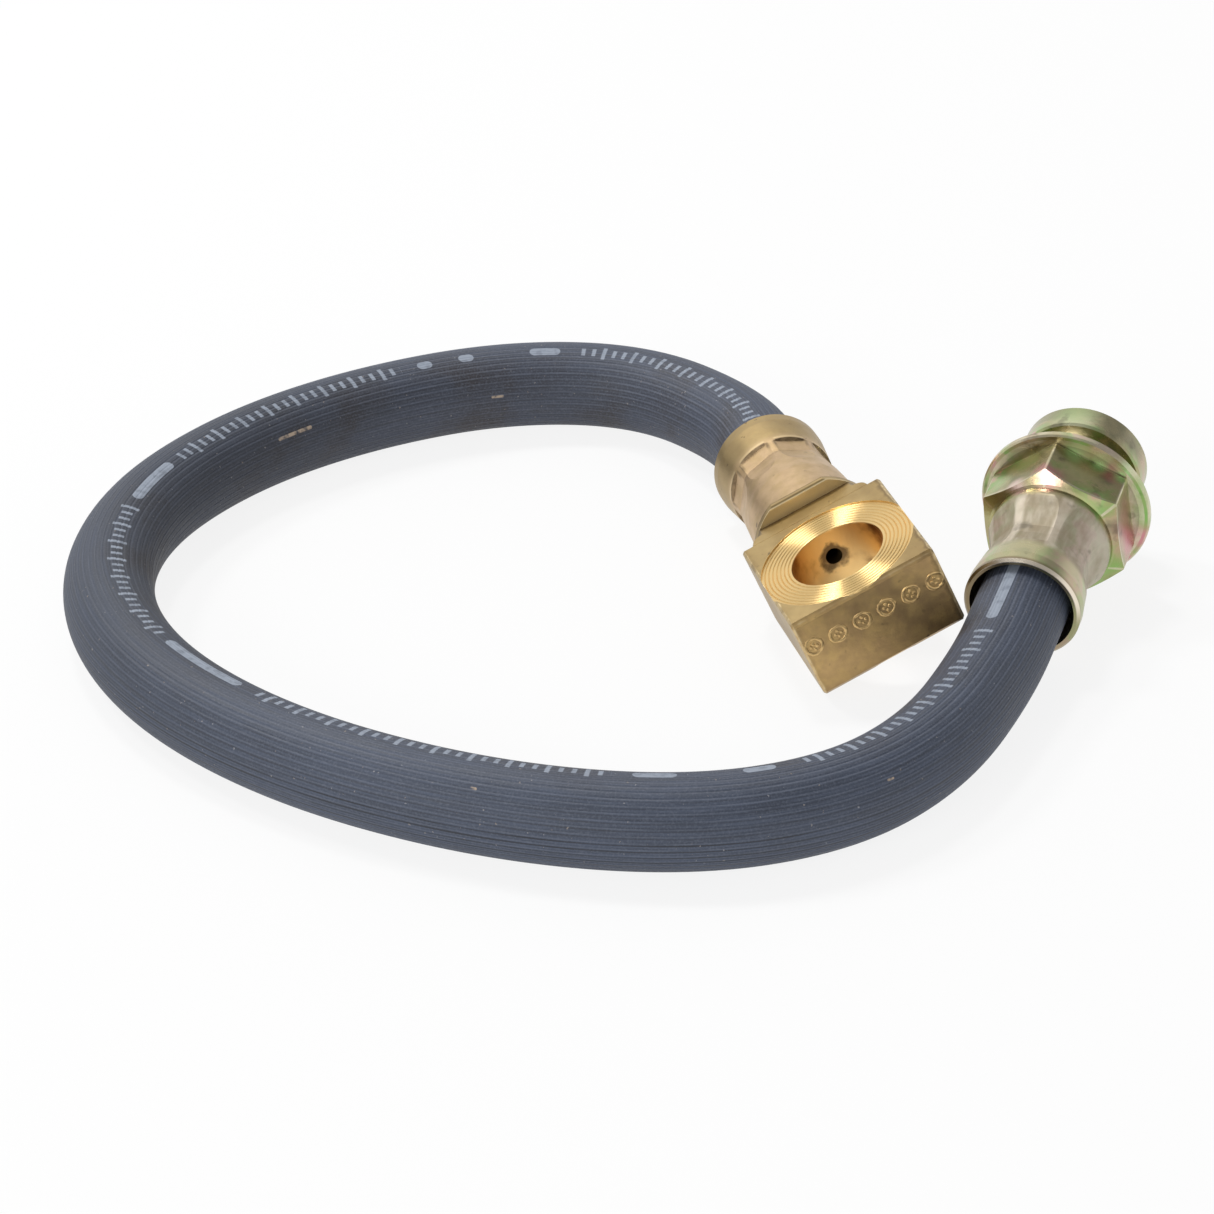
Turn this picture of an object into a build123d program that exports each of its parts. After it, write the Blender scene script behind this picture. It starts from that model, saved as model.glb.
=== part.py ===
# Hydraulic brake hose assembly: a five-layer rubber hose crimped at one end into a brass
# banjo block and at the other into a zinc-plated steel fitting with a female port.
# Millimetres, +Z up. The hose lies loose in a loop on the plane Z = 0, and the origin is on
# that plane, below the middle of the two end fittings.
from build123d import *
from math import atan2, cos, degrees, radians, sin, tan
import os

os.makedirs("parts", exist_ok=True)

# ---------------------------------------------------------------- hose
liner_bore_d = 3.2  # 1/8 inch passage
liner_wall = 0.9
braid_wall = 0.5
cushion_wall = 0.4
cover_wall = 1.27
ply_gap = 0.02  # between one layer and the next
crimp_squeeze = 0.5  # how far the crimp presses the cover in, on the radius

# Each layer as (bore radius, outer radius), from the passage outwards.
layers = {}
reach = liner_bore_d / 2
for layer, wall in (
    ("hose_liner", liner_wall),
    ("inner_braid", braid_wall),
    ("cushion_layer", cushion_wall),
    ("outer_braid", braid_wall),
    ("hose_cover", cover_wall),
):
    layers[layer] = (reach, reach + wall)
    reach += wall + ply_gap
hose_r = layers["hose_cover"][1]
grip_r = hose_r - crimp_squeeze

# ---------------------------------------------------------------- sockets and stems
lip_gap = 0.95  # open ring between the hose and the bell's rim
rim_round = 0.3
throat_at = 3.0  # from the mouth, where the bell has closed down on the hose
throat_len = 1.2
crimp_flats = 8
crimp_run_in = 0.3  # length of the steep step at the bell's end of a crimp
crimp_fade = 3.2  # length over which a crimp dies away at its other end
grip_gap = 0.02  # between the cover and the socket that grips it
seat_gap = 0.02  # between a stem and what it is pushed into
stem_wall = 0.6
stem_shank_r = 2.3
stem_shank_len = 3.0
barb_pitch = 2.4
barb_depth = 0.18

# ---------------------------------------------------------------- banjo end
banjo_bell_r = 6.9
banjo_bell_len = 1.8
banjo_waist_r = 6.15
banjo_waist_flare = 0.3  # how much the waist widens where the bell begins
banjo_crimp_depth = 0.34
banjo_crimp_start = 6.0  # from the mouth
banjo_crimp_end = 12.5
banjo_crimp_turn = 14.0
banjo_root_r = 6.7
banjo_waist_from, banjo_waist_to = 8.5, 9.5
banjo_root_at = 14.5
banjo_socket_depth = 15.0
collar_r = 7.8
collar_start = 20.7
collar_step = 21.5  # where the thick stock is milled down to the block
stock_half = 7.05
shoulder_at = 23.8
shoulder_flare = 1.2
bore_at = 34.1  # bore axis from the mouth
block_end = 43.6
block_width = 18.0
block_thickness = 10.3
block_edge = 0.25
end_edge = 0.55  # the two long edges of the end face
lip_edge = 0.25
banjo_bore_r = 5.6  # clears a 7/16 inch banjo bolt
spot_face_r = 9.3
spot_face_depth = 0.2
groove_pitch = 0.48
groove_depth = 0.1
groove_count = 7
feed_r = 1.0
feed_rise = 1.5  # the drilled passage comes out this far above the bore's middle

# ---------------------------------------------------------------- chassis end
chassis_bell_r = 6.8
chassis_bell_len = 1.8
chassis_waist_r = 6.0
chassis_bell_fall = 0.4  # how far the bell has closed down where the crimp begins
chassis_crimp_depth = 0.32
chassis_crimp_start = 4.8
chassis_crimp_end = 13.0
chassis_crimp_turn = 18.5
chassis_root_r = 7.3
chassis_waist_from, chassis_waist_to = 7.0, 8.4
chassis_root_at = 12.0
chassis_socket_depth = 13.0
hex_at = 13.6
hex_across_flats = 15.9
hex_bevel_r = 7.6
hex_bevel_angle = 36
hex_edge = 0.35
hex_gap = 0.3  # neck between the hexagon and the flange
flange_at = 20.4
flange_r = 10.1
flange_thickness = 0.8
flange_slope = 0.5
flange_edge = 0.2
clip_groove_width = 5.3
clip_groove_r = 6.3
nose_r = 7.5
nose_len = 3.9
nose_edge = 0.25
nose_chamfer = 0.5
port_r = 4.25  # minor radius of a 3/8-24 thread
port_len = 7.4
port_chamfer = 0.6
relief_r = 4.6
relief_len = 2.7
seat_r = 3.4
seat_height = 2.4
seat_tip_r = 1.6
passage_r = 1.25

# ---------------------------------------------------------------- how the ends lie
# Heading is measured from +X towards +Y, pitch is the rise from the mouth into the fitting.
banjo_heading, banjo_pitch, banjo_roll = -75.5, 3.2, 24.2
chassis_heading, chassis_pitch, chassis_roll = 70.5, 8.1, 22.3
banjo_mouth_xy = (-18.86, 21.33)
chassis_mouth_xy = (8.65, -13.55)
exit_run = 12.0  # the hose leaves both mouths straight

# The loop between the two straight exits, on the ground, from the banjo end.
loop_xy = [
    (-33.6, 46.1),
    (-51.2, 47.2),
    (-69.9, 39.3),
    (-84.9, 27.0),
    (-94.9, 10.7),
    (-96.8, -8.0),
    (-89.4, -26.4),
    (-73.7, -41.9),
    (-52.1, -52.6),
    (-30.8, -56.1),
    (-14.1, -51.7),
    (-2.9, -40.9),
]


def aim(heading, pitch, roll):
    """Frame at the origin whose Z runs from the mouth into the fitting."""
    h, p = radians(heading), radians(pitch)
    along = Vector(cos(p) * cos(h), cos(p) * sin(h), sin(p))
    level = Vector(-sin(h), cos(h), 0)
    return Plane((0, 0, 0), x_dir=level.rotate(Axis((0, 0, 0), along), roll), z_dir=along)


def turned(points):
    """Body of revolution about Z from (z, r) points, closed along the axis."""
    outline = [(r, z) for z, r in points]
    outline = [(0, points[0][0])] + outline + [(0, points[-1][0])]
    return revolve(Plane.XZ * make_face(Polyline(*outline, close=True)), Axis.Z)


def ring_groove(radius, top, depth):
    """V groove round Z, open upwards at height top."""
    profile = make_face(
        Polyline((radius - depth, top), (radius + depth, top), (radius, top - depth), close=True)
    )
    return revolve(Plane.XZ * profile, Axis.Z)


def crimp_cuts(barrel, start, end, depth, turn):
    """The pressed flats round a socket: each follows the (z, r) points of the barrel, sunk by
    depth, runs in steeply by the bell and dies away at its other end."""
    fade_from = end - crimp_fade
    outside = max(r for _, r in barrel) + 2
    steps = [(start + crimp_run_in, depth)]
    steps += [(z, depth) for z, _ in barrel if start + crimp_run_in < z < fade_from]
    # the depth falls as a parabola, which gives each flat a rounded end
    steps += [(fade_from + crimp_fade * k, depth * (1 - k * k)) for k in (0, 0.4, 0.7, 0.9)]
    outline = [(outside, start), (radius_at(barrel, start) + 0.1, start)]
    outline += [(radius_at(barrel, z) - sunk, z) for z, sunk in steps]
    outline += [(radius_at(barrel, end) + 0.1, end), (outside, end)]
    flat = extrude(Plane.XZ * make_face(Polyline(*outline, close=True)), outside, both=True)
    return Rot(0, 0, turn) * PolarLocations(0, crimp_flats) * flat


def radius_at(barrel, z):
    """Radius of a barrel given as (z, r) points."""
    for (z0, r0), (z1, r1) in zip(barrel, barrel[1:]):
        if z0 <= z <= z1:
            return r0 + (r1 - r0) * (z - z0) / (z1 - z0)
    return barrel[-1][1]


def socket_cavity(mouth_r, depth):
    """Inside of a crimped socket: open bell, throat, grip and floor, then the stem's seat."""
    grip = grip_r + grip_gap
    free = hose_r + grip_gap
    return turned(
        [
            (-1, mouth_r),
            (0, mouth_r),
            (throat_at, free),
            (throat_at + throat_len, grip),
            (depth, grip),
            (depth, stem_shank_r + seat_gap),
            (depth + stem_shank_len + seat_gap, stem_shank_r + seat_gap),
        ]
    )


def stem(depth):
    """Nipple inside the hose: barbed tube and a shank pushed into the socket's floor."""
    barb_r = liner_bore_d / 2 - seat_gap
    first = throat_at + throat_len
    body = turned(
        [(first, barb_r - barb_depth), (first + 0.5, barb_r), (depth, barb_r)]
    ) + Pos(0, 0, depth + seat_gap) * Cylinder(
        stem_shank_r,
        stem_shank_len - seat_gap,
        align=(Align.CENTER, Align.CENTER, Align.MIN),
    )
    body += Pos(0, 0, depth) * Cylinder(
        barb_r, seat_gap, align=(Align.CENTER, Align.CENTER, Align.MIN)
    )
    step = first + 0.5 + barb_pitch
    while step < depth - barb_pitch:
        body -= revolve(
            Plane.XZ
            * make_face(
                Polyline(
                    (barb_r - barb_depth, step),
                    (barb_r + 1, step),
                    (barb_r + 1, step + 1.2),
                    (barb_r, step + 1.2),
                    close=True,
                )
            ),
            Axis.Z,
        )
        step += barb_pitch
    return body - Cylinder(barb_r - stem_wall, 4 * depth)


# ---------------------------------------------------------------- banjo block, mouth at Z = 0
def make_banjo_block():
    half = block_thickness / 2
    barrel = [
        (0, banjo_bell_r - rim_round),
        (rim_round, banjo_bell_r),
        (banjo_bell_len, banjo_bell_r),
        (banjo_crimp_start, banjo_waist_r + banjo_waist_flare),
        (banjo_waist_from, banjo_waist_r),
        (banjo_waist_to, banjo_waist_r + banjo_waist_flare / 2),
        (banjo_root_at, banjo_root_r),
        (collar_start + (collar_step - collar_start) / 2, banjo_root_r),
    ]
    socket = turned(barrel) - crimp_cuts(
        barrel, banjo_crimp_start, banjo_crimp_end, banjo_crimp_depth, banjo_crimp_turn
    )
    flare_end = shoulder_at + 0.2
    flare_r = min(block_width / 2, collar_r + shoulder_flare)
    edge = Polyline(
        (0, flare_end),
        (0, collar_start),
        (collar_r, collar_start),
        (collar_r, shoulder_at - shoulder_flare),
    ) + RadiusArc(
        (collar_r, shoulder_at - shoulder_flare), (flare_r, shoulder_at), -shoulder_flare
    )
    edge += Polyline((flare_r, shoulder_at), (flare_r, flare_end), (0, flare_end))
    collar = revolve(Plane.XZ * make_face(edge), Axis.Z)
    thick = Pos(0, 0, (collar_start + collar_step) / 2) * Box(
        4 * collar_r, 2 * stock_half, collar_step - collar_start
    )
    thick = chamfer(thick.edges().filter_by(Axis.X).group_by(Axis.Z)[-1], lip_edge)
    thin = Pos(0, 0, (collar_step + flare_end) / 2) * Box(
        4 * collar_r, block_thickness, flare_end - collar_step
    )
    collar = collar & (thick + thin)
    outline = [
        (half - block_edge, shoulder_at),
        (half, shoulder_at + block_edge),
        (half, block_end - end_edge),
        (half - end_edge, block_end),
    ]
    outline += [(-y, z) for y, z in reversed(outline)]
    block = extrude(
        Plane.YZ * make_face(Polyline(*outline, close=True)), block_width / 2, both=True
    )
    sides = block.faces().sort_by(Axis.X)
    block = chamfer(sides[0].edges() + sides[-1].edges(), block_edge)
    body = socket + collar + block
    bore = Pos(0, 0, bore_at) * Rot(90, 0, 0) * Cylinder(banjo_bore_r, 2 * block_thickness)
    body -= bore
    for side in (1, -1):
        face_frame = Location((0, side * half, bore_at), (-90 * side, 0, 0))
        spot = Pos(0, 0, -spot_face_depth) * Cylinder(
            spot_face_r, 1, align=(Align.CENTER, Align.CENTER, Align.MIN)
        )
        for k in range(groove_count):
            radius = banjo_bore_r + groove_pitch * (k + 0.8)
            spot += ring_groove(radius, -spot_face_depth, groove_depth)
        body -= face_frame * spot
    body -= socket_cavity(hose_r + lip_gap, banjo_socket_depth)
    feed_from = banjo_socket_depth + stem_shank_len
    feed_run = bore_at - banjo_bore_r - feed_from
    feed_lean = degrees(atan2(feed_rise, feed_run))
    body -= (
        Pos(0, 0, feed_from)
        * Rot(-feed_lean, 0, 0)
        * Pos(0, 0, -feed_r)
        * Cylinder(
            feed_r, feed_run + banjo_bore_r, align=(Align.CENTER, Align.CENTER, Align.MIN)
        )
    )
    return body


# ---------------------------------------------------------------- chassis fitting, mouth at Z = 0
def make_chassis_fitting():
    flange_back = flange_at + flange_thickness
    nose_at = flange_back + clip_groove_width
    end = nose_at + nose_len
    neck_r = hex_across_flats / 2 - hex_edge
    barrel = [
        (0, chassis_bell_r - rim_round),
        (rim_round, chassis_bell_r),
        (chassis_bell_len, chassis_bell_r),
        (chassis_crimp_start, chassis_bell_r - chassis_bell_fall),
        (chassis_waist_from, chassis_waist_r),
        (chassis_waist_to, chassis_waist_r),
        (chassis_root_at, chassis_root_r - 0.15),
        (hex_at + 1, chassis_root_r),
    ]
    socket = turned(barrel) - crimp_cuts(
        barrel, chassis_crimp_start, chassis_crimp_end, chassis_crimp_depth, chassis_crimp_turn
    )
    hexagon = extrude(
        Plane.XY.offset(hex_at)
        * RegularPolygon(hex_across_flats / 2, 6, major_radius=False),
        flange_at - hex_gap - hex_at,
    )
    hexagon = fillet(
        hexagon.edges().filter_by(Axis.Z) + hexagon.edges().group_by(Axis.Z)[-1], hex_edge
    )
    bevel_len = (flange_r - hex_bevel_r) * tan(radians(hex_bevel_angle))
    hexagon = hexagon & turned(
        [
            (hex_at, hex_bevel_r - hex_edge),
            (hex_at + hex_edge / 2, hex_bevel_r),
            (hex_at + bevel_len, flange_r),
            (flange_at, flange_r),
        ]
    )
    back = turned(
        [
            (hex_at + 1, chassis_root_r),
            (hex_at + 1, neck_r),
            (flange_at - flange_slope, neck_r),
            (flange_at - flange_edge, flange_r - flange_edge),
            (flange_at, flange_r),
            (flange_back - flange_edge, flange_r),
            (flange_back, flange_r - flange_edge),
            (flange_back, clip_groove_r),
            (nose_at, clip_groove_r),
            (nose_at, nose_r - nose_edge),
            (nose_at + nose_edge, nose_r),
            (end - nose_chamfer, nose_r),
            (end, nose_r - nose_chamfer),
        ]
    )
    body = socket + hexagon + back
    thread_end = end - port_chamfer - port_len
    floor = thread_end - relief_len
    body -= turned(
        [
            (floor, relief_r),
            (thread_end, relief_r),
            (thread_end, port_r),
            (end - port_chamfer, port_r),
            (end, port_r + port_chamfer),
            (end + 1, port_r + port_chamfer),
        ]
    ) - turned([(floor - 1, seat_r), (floor, seat_r), (floor + seat_height, seat_tip_r)])
    body -= Pos(0, 0, chassis_socket_depth) * Cylinder(
        passage_r, end, align=(Align.CENTER, Align.CENTER, Align.MIN)
    )
    return body - socket_cavity(hose_r + lip_gap - 0.1, chassis_socket_depth)


def stand(piece, frame, xy):
    """Frame of a fitting whose lowest point touches Z = 0, and whose mouth is above xy."""
    low = (frame.location * piece).bounding_box().min.Z
    return Location((xy[0], xy[1], -low)) * frame.location


banjo_block = make_banjo_block()
chassis_fitting = make_chassis_fitting()
banjo_place = stand(banjo_block, aim(banjo_heading, banjo_pitch, banjo_roll), banjo_mouth_xy)
chassis_place = stand(
    chassis_fitting, aim(chassis_heading, chassis_pitch, chassis_roll), chassis_mouth_xy
)

# ---------------------------------------------------------------- the hose's route
def point_at(place, z):
    return (place * Location((0, 0, z))).position


lie = hose_r  # the centreline's height where the hose lies on the ground
route = [point_at(banjo_place, 0), point_at(banjo_place, -exit_run)]
route += [Vector(x, y, lie) for x, y in loop_xy]
last = point_at(chassis_place, -exit_run)
route += [Vector(last.X, last.Y, max(last.Z, lie)), point_at(chassis_place, 0)]

runs = [b - a for a, b in zip(route, route[1:])]
turns = [a.get_angle(b) for a, b in zip(runs, runs[1:])]
radii = [
    0.45 * min(a.length, b.length) / tan(radians(turn) / 2)
    for a, b, turn in zip(runs, runs[1:], turns)
]
path = FilletPolyline(*route, radius=radii)


def ring(inner, outer):
    return Circle(outer) - Circle(inner)


def hose_layer(name):
    inner, outer = layers[name]
    start = Plane(route[0], z_dir=path % 0)
    tube = sweep(start * ring(inner, outer), path=path)
    for place, depth in (
        (banjo_place, banjo_socket_depth),
        (chassis_place, chassis_socket_depth),
    ):
        if name == "hose_cover":
            stub = turned(
                [
                    (0, outer),
                    (throat_at, outer),
                    (throat_at + throat_len, grip_r),
                    (depth, grip_r),
                ]
            ) - Cylinder(inner, 4 * depth)
        else:
            stub = extrude(ring(inner, outer), depth)
        tube += place * stub
    return tube


pieces = {name: hose_layer(name) for name in layers}
pieces["banjo_block"] = banjo_place * banjo_block
pieces["banjo_stem"] = banjo_place * stem(banjo_socket_depth)
pieces["chassis_fitting"] = chassis_place * chassis_fitting
pieces["chassis_stem"] = chassis_place * stem(chassis_socket_depth)

for name, piece in pieces.items():
    export_step(piece, f"parts/{name}.step")

print("route", [tuple(round(c, 2) for c in p) for p in route])
print("runs", [round(r.length, 1) for r in runs])
print("turns", [round(t, 1) for t in turns])
print("radii", [round(r, 1) for r in radii])
print("path length", round(path.length, 1))
for name in layers:
    inner, outer = layers[name]
    tube_volume = 3.14159265 * (outer**2 - inner**2) * path.length
    print(name, "volume", round(pieces[name].volume, 1), "free tube alone", round(tube_volume, 1))
ends = Compound([pieces["banjo_block"], pieces["chassis_fitting"]]).bounding_box()
print("fittings from", ends.min, "to", ends.max)
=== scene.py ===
import math

import bpy
from mathutils import Euler, Matrix, Vector


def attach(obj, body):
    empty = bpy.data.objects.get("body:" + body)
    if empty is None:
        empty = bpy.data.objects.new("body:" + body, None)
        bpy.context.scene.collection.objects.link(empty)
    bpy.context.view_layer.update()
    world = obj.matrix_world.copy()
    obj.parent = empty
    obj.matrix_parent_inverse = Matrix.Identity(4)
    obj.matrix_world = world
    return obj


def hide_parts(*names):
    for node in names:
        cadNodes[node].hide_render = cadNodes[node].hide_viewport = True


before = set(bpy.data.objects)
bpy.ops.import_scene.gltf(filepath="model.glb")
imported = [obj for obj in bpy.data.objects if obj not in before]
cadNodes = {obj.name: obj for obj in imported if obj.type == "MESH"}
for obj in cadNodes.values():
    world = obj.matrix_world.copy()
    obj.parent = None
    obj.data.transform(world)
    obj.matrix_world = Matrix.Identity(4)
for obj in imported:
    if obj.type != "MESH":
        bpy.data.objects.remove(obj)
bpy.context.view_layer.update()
scene = bpy.context.scene
mm = 0.001


# ---- helpers for node trees
def addNode(tree, kind, inputs=None, **settings):
    node = tree.nodes.new(kind)
    for name, value in settings.items():
        setattr(node, name, value)
    for key, value in (inputs or {}).items():
        fill(tree, node.inputs[key], value)
    return node


def fill(tree, socket, value):
    if isinstance(value, bpy.types.NodeSocket):
        tree.links.new(value, socket)
    else:
        socket.default_value = value


def calc(tree, operation, a, b=None, c=None, clamp=False):
    kind = "ShaderNodeMath"
    given = {i: v for i, v in enumerate((a, b, c)) if v is not None}
    return addNode(tree, kind, given, operation=operation, use_clamp=clamp).outputs[0]


def vectorCalc(tree, operation, a, b=None, scale=None):
    node = addNode(tree, "ShaderNodeVectorMath", {0: a}, operation=operation)
    if b is not None:
        fill(tree, node.inputs[1], b)
    if scale is not None:
        fill(tree, node.inputs["Scale"], scale)
    return node.outputs["Value"] if operation in ("LENGTH", "DOT_PRODUCT") else node.outputs[0]


def remap(tree, value, low, high, toLow=0.0, toHigh=1.0, smooth=True):
    node = addNode(
        tree,
        "ShaderNodeMapRange",
        {"Value": value, "From Min": low, "From Max": high, "To Min": toLow, "To Max": toHigh},
        interpolation_type="SMOOTHSTEP" if smooth else "LINEAR",
    )
    return node.outputs["Result"]


def mixColor(tree, factor, a, b, blend="MIX"):
    node = addNode(tree, "ShaderNodeMix", data_type="RGBA", blend_type=blend)
    fill(tree, node.inputs[0], factor)
    fill(tree, node.inputs[6], a)
    fill(tree, node.inputs[7], b)
    return node.outputs[2]


def rgb(r, g, b):
    return (r, g, b, 1.0)


def newGroup(name, inputs, outputs):
    group = bpy.data.node_groups.new(name, "ShaderNodeTree")
    for label, kind, value in inputs:
        socket = group.interface.new_socket(label, in_out="INPUT", socket_type=kind)
        if value is not None:
            socket.default_value = value
    for label, kind in outputs:
        group.interface.new_socket(label, in_out="OUTPUT", socket_type=kind)
    source = group.nodes.new("NodeGroupInput")
    target = group.nodes.new("NodeGroupOutput")
    return group, source.outputs, target.inputs


def useGroup(tree, group, **inputs):
    node = tree.nodes.new("ShaderNodeGroup")
    node.node_tree = group
    for label, value in inputs.items():
        fill(tree, node.inputs[label], value)
    return node.outputs


# ---- camera
cameraSettings = {
    "lens": 119.3,
    "sensor": 36.0,
    "target": (-0.0384, -0.0009, 0.0),
    "distance": 0.4714,
    "elevation": 30.0,
}


def makeCamera(s):
    data = bpy.data.cameras.new("camera")
    data.lens = s["lens"]
    data.sensor_width = s["sensor"]
    data.clip_start = 0.01
    data.clip_end = 20
    camera = bpy.data.objects.new("camera", data)
    scene.collection.objects.link(camera)
    up = math.radians(s["elevation"])
    back = Vector((0, -math.cos(up), math.sin(up)))
    camera.location = Vector(s["target"]) + back * s["distance"]
    camera.rotation_euler = (math.pi / 2 - up, 0, 0)
    scene.camera = camera


makeCamera(cameraSettings)
print("camera placed")


# ---- where the two fittings point, from the mouth inwards
banjoPose = {"mouth": (-18.86, 21.33, 6.93), "heading": -75.5, "pitch": 3.2, "roll": 24.2}
chassisPose = {"mouth": (8.65, -13.55, 7.12), "heading": 70.5, "pitch": 8.1, "roll": 22.3}


def fittingFrame(s):
    heading, pitch, roll = (math.radians(s[k]) for k in ("heading", "pitch", "roll"))
    flat = math.cos(pitch)
    along = Vector((flat * math.cos(heading), flat * math.sin(heading), math.sin(pitch)))
    level = Vector((-math.sin(heading), math.cos(heading), 0))
    level.rotate(Matrix.Rotation(roll, 3, along))
    turn = Matrix((level, along.cross(level), along)).transposed().to_4x4()
    return Matrix.Translation(Vector(s["mouth"]) * mm) @ turn


banjoFrame = fittingFrame(banjoPose)
chassisFrame = fittingFrame(chassisPose)

# ---- hose
hose = {
    "route": [
        (-15.11, 6.83, 7.77),  # the hose's end on the banjo socket's floor
        (-18.86, 21.33, 6.93),  # banjo mouth
        (-21.86, 32.93, 6.26),
        (-33.6, 46.1, 5.25),
        (-51.2, 47.2, 5.25),
        (-69.9, 39.3, 5.25),
        (-84.9, 27.0, 5.25),
        (-94.9, 10.7, 5.25),
        (-96.8, -8.0, 5.25),
        (-89.4, -26.4, 5.25),
        (-73.7, -41.9, 5.25),
        (-52.1, -52.6, 5.25),
        (-30.8, -56.1, 5.25),
        (-14.1, -51.7, 5.25),
        (-2.9, -40.9, 5.25),
        (4.68, -24.75, 5.43),
        (8.65, -13.55, 7.12),  # chassis mouth
        (12.95, -1.42, 8.95),  # end on the chassis socket's floor
    ],
    "length": 0.300,
    "diameter": 0.0105,
    "gripDiameter": 0.0095,
    "banjoDepth": 0.015,
    "chassisDepth": 0.013,
    "throat": 0.003,
    "ribs": 42,
    "pointsPerRib": 8,
    "ribHeight": 0.00008,
    "step": 0.0013,
}


def makeRoute(s):
    curve = bpy.data.curves.new("hoseRoute", "CURVE")
    curve.dimensions = "3D"
    spline = curve.splines.new("NURBS")
    spline.points.add(len(s["route"]) - 1)
    for point, place in zip(spline.points, s["route"]):
        point.co = (*(v * mm for v in place), 1)
    spline.order_u = 3
    spline.use_endpoint_u = True
    curve.resolution_u = 16
    route = bpy.data.objects.new("hoseRoute", curve)
    scene.collection.objects.link(route)
    line = bpy.data.meshes.new_from_object(
        route.evaluated_get(bpy.context.evaluated_depsgraph_get())
    )
    bpy.data.objects.remove(route)
    return line


def makeHoseTree():
    tree = bpy.data.node_groups.new("ribbedHose", "GeometryNodeTree")
    tree.is_modifier = True
    face = tree.interface
    face.new_socket("Geometry", in_out="INPUT", socket_type="NodeSocketGeometry")
    for label, kind in (
        ("Radius", "NodeSocketFloat"),
        ("Grip Radius", "NodeSocketFloat"),
        ("Ribs", "NodeSocketInt"),
        ("Points per Rib", "NodeSocketInt"),
        ("Rib Height", "NodeSocketFloat"),
        ("Step", "NodeSocketFloat"),
        ("Start Depth", "NodeSocketFloat"),
        ("End Depth", "NodeSocketFloat"),
        ("Throat", "NodeSocketFloat"),
        ("Material", "NodeSocketMaterial"),
    ):
        face.new_socket(label, in_out="INPUT", socket_type=kind)
    face.new_socket("Geometry", in_out="OUTPUT", socket_type="NodeSocketGeometry")
    given = tree.nodes.new("NodeGroupInput").outputs
    result = tree.nodes.new("NodeGroupOutput").inputs

    def node(kind, inputs=None, **settings):
        return addNode(tree, kind, inputs, **settings)

    def maths(operation, a, b=None, c=None):
        return calc(tree, operation, a, b, c)

    line = node("GeometryNodeMeshToCurve", {"Mesh": given["Geometry"]})
    line = node("GeometryNodeResampleCurve", {"Curve": line.outputs[0]}, mode="LENGTH")
    fill(tree, line.inputs["Length"], given["Step"])
    line = node("GeometryNodeSetCurveNormal", {"Curve": line.outputs[0]}, mode="Z_UP")
    spot = node("GeometryNodeSplineParameter").outputs["Length"]
    total = node("GeometryNodeSplineLength").outputs["Length"]
    # full size between the two throats, squeezed from there to the sockets' floors
    fromStart = maths("SUBTRACT", given["Start Depth"], spot)
    fromEnd = maths("SUBTRACT", given["End Depth"], maths("SUBTRACT", total, spot))
    depth = maths("MAXIMUM", fromStart, fromEnd)
    squeeze = node(
        "ShaderNodeMapRange",
        {
            "Value": depth,
            "From Min": given["Throat"],
            "From Max": maths("ADD", given["Throat"], 0.0012),
            "To Min": 1.0,
            "To Max": maths("DIVIDE", given["Grip Radius"], given["Radius"]),
        },
    ).outputs["Result"]
    line = node("GeometryNodeSetCurveRadius", {"Curve": line.outputs[0], "Radius": squeeze})
    line = node(
        "GeometryNodeStoreNamedAttribute",
        {"Geometry": line.outputs[0], "Name": "along", "Value": spot},
        data_type="FLOAT",
        domain="POINT",
    )

    count = maths("MULTIPLY", given["Ribs"], given["Points per Rib"])
    ring = node(
        "GeometryNodeCurvePrimitiveCircle",
        {"Resolution": count, "Radius": given["Radius"]},
        mode="RADIUS",
    )
    outward = node(
        "ShaderNodeVectorMath", {0: node("GeometryNodeInputPosition").outputs[0]}, operation="NORMALIZE"
    ).outputs[0]
    # one point in each rib is the groove, and the rest are its broad land
    step = maths("MODULO", node("GeometryNodeInputIndex").outputs[0], given["Points per Rib"])
    sunk = maths("MULTIPLY", maths("LESS_THAN", step, 0.5), maths("MULTIPLY", given["Rib Height"], -1.0))
    ring = node(
        "GeometryNodeStoreNamedAttribute",
        {"Geometry": ring.outputs[0], "Name": "around", "Value": outward},
        data_type="FLOAT_VECTOR",
        domain="POINT",
    )
    shift = node("ShaderNodeVectorMath", {0: outward, "Scale": sunk}, operation="SCALE").outputs[0]
    ring = node("GeometryNodeSetPosition", {"Geometry": ring.outputs[0], "Offset": shift})
    tube = node(
        "GeometryNodeCurveToMesh",
        {"Curve": line.outputs[0], "Profile Curve": ring.outputs[0], "Fill Caps": True},
    )
    tube = node("GeometryNodeRealizeInstances", {"Geometry": tube.outputs[0]})
    tube = node("GeometryNodeSetShadeSmooth", {"Geometry": tube.outputs[0]})
    tube = node(
        "GeometryNodeSetMaterial", {"Geometry": tube.outputs[0], "Material": given["Material"]}
    )
    tree.links.new(tube.outputs[0], result["Geometry"])
    return tree


def runTree(name, mesh, tree, values):
    piece = bpy.data.objects.new(name, mesh)
    scene.collection.objects.link(piece)
    modifier = piece.modifiers.new("shape", "NODES")
    modifier.node_group = tree
    for item in tree.interface.items_tree:
        if item.in_out == "INPUT" and item.name in values:
            modifier[item.identifier] = values[item.name]
    depsgraph = bpy.context.evaluated_depsgraph_get()
    finished = bpy.data.meshes.new_from_object(
        piece.evaluated_get(depsgraph), preserve_all_data_layers=True, depsgraph=depsgraph
    )
    piece.modifiers.remove(modifier)
    finished.name = name
    piece.data = finished
    return piece


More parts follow.
